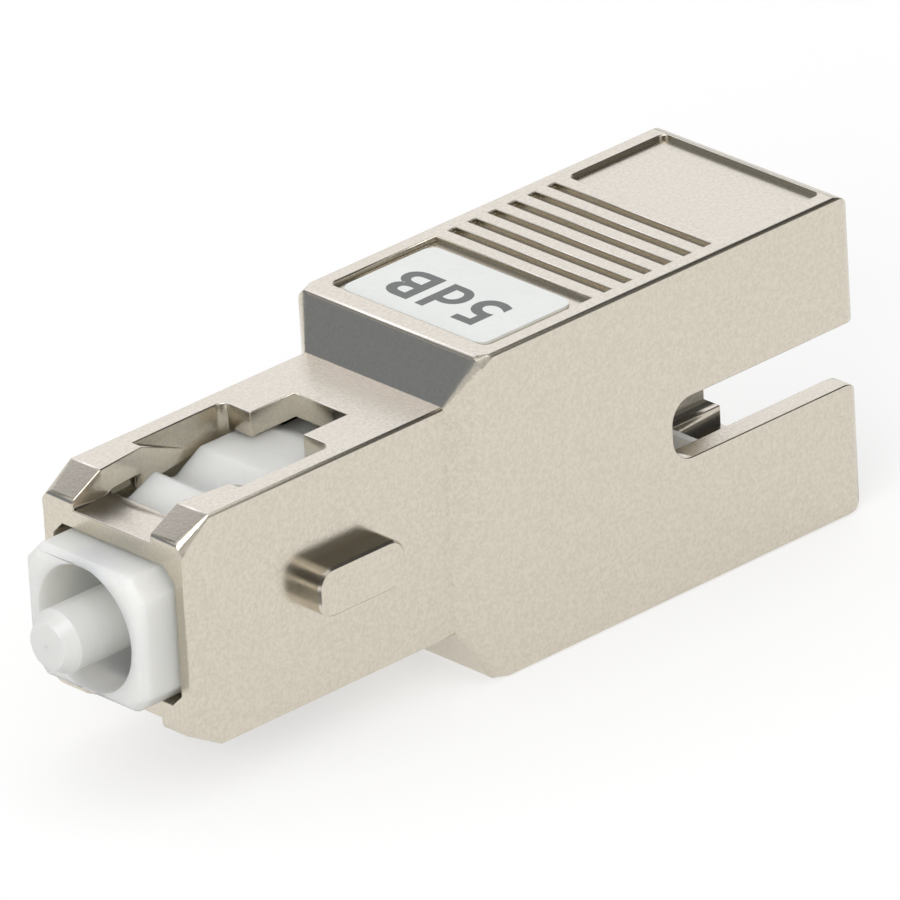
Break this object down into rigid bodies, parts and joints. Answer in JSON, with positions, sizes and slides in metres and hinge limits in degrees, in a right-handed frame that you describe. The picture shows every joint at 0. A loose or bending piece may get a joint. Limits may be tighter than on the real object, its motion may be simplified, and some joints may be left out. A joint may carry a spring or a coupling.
{
  "type": "fibre attenuator",
  "caption": "Plug-to-jack fixed fibre attenuator: plated die-cast shell, sprung ferrule in a white plug frame, sleeved jack with latch hooks.",
  "frame": {"origin": "on the optical axis, in the plane of the shell's plug mouth", "axes": "+X along the optical axis from the plug to the jack, +Z out of the label's face, -Y out of the side with the key"},
  "size_m": [0.0363, 0.0097, 0.0131],
  "materials": {
    "plated_casting": "satin nickel plate on a fine die-cast grain",
    "label": "pale printed film",
    "white_moulding": "white moulded plastic, slightly satin",
    "turned_brass": "nickel-plated turned brass",
    "ceramic": "ground and polished white zirconia",
    "spring_wire": "drawn stainless wire",
    "fibre_glass": "polished doped silica end, dark against the ceramic"
  },
  "bodies": {
    "shell": {"housing_shell": "plated_casting", "value_label": "label"},
    "carriage": {"plug_frame": "white_moulding", "jack_latch": "white_moulding", "spring_seat": "turned_brass", "split_sleeve": "ceramic", "float_spring": "spring_wire"},
    "ferrule": {"ferrule": "ceramic", "doped_fibre": "fibre_glass", "ferrule_flange": "turned_brass"}
  },
  "joints": [
    {"name": "release_slide", "type": "slide", "parent": "shell", "child": "carriage", "axis": [1, 0, 0], "range_m": [0, 0.0016]},
    {"name": "ferrule_float", "type": "slide", "parent": "carriage", "child": "ferrule", "axis": [1, 0, 0], "range_m": [0, 0.0009], "stiffness_N_per_m": 500, "deforming": ["float_spring"]}
  ]
}
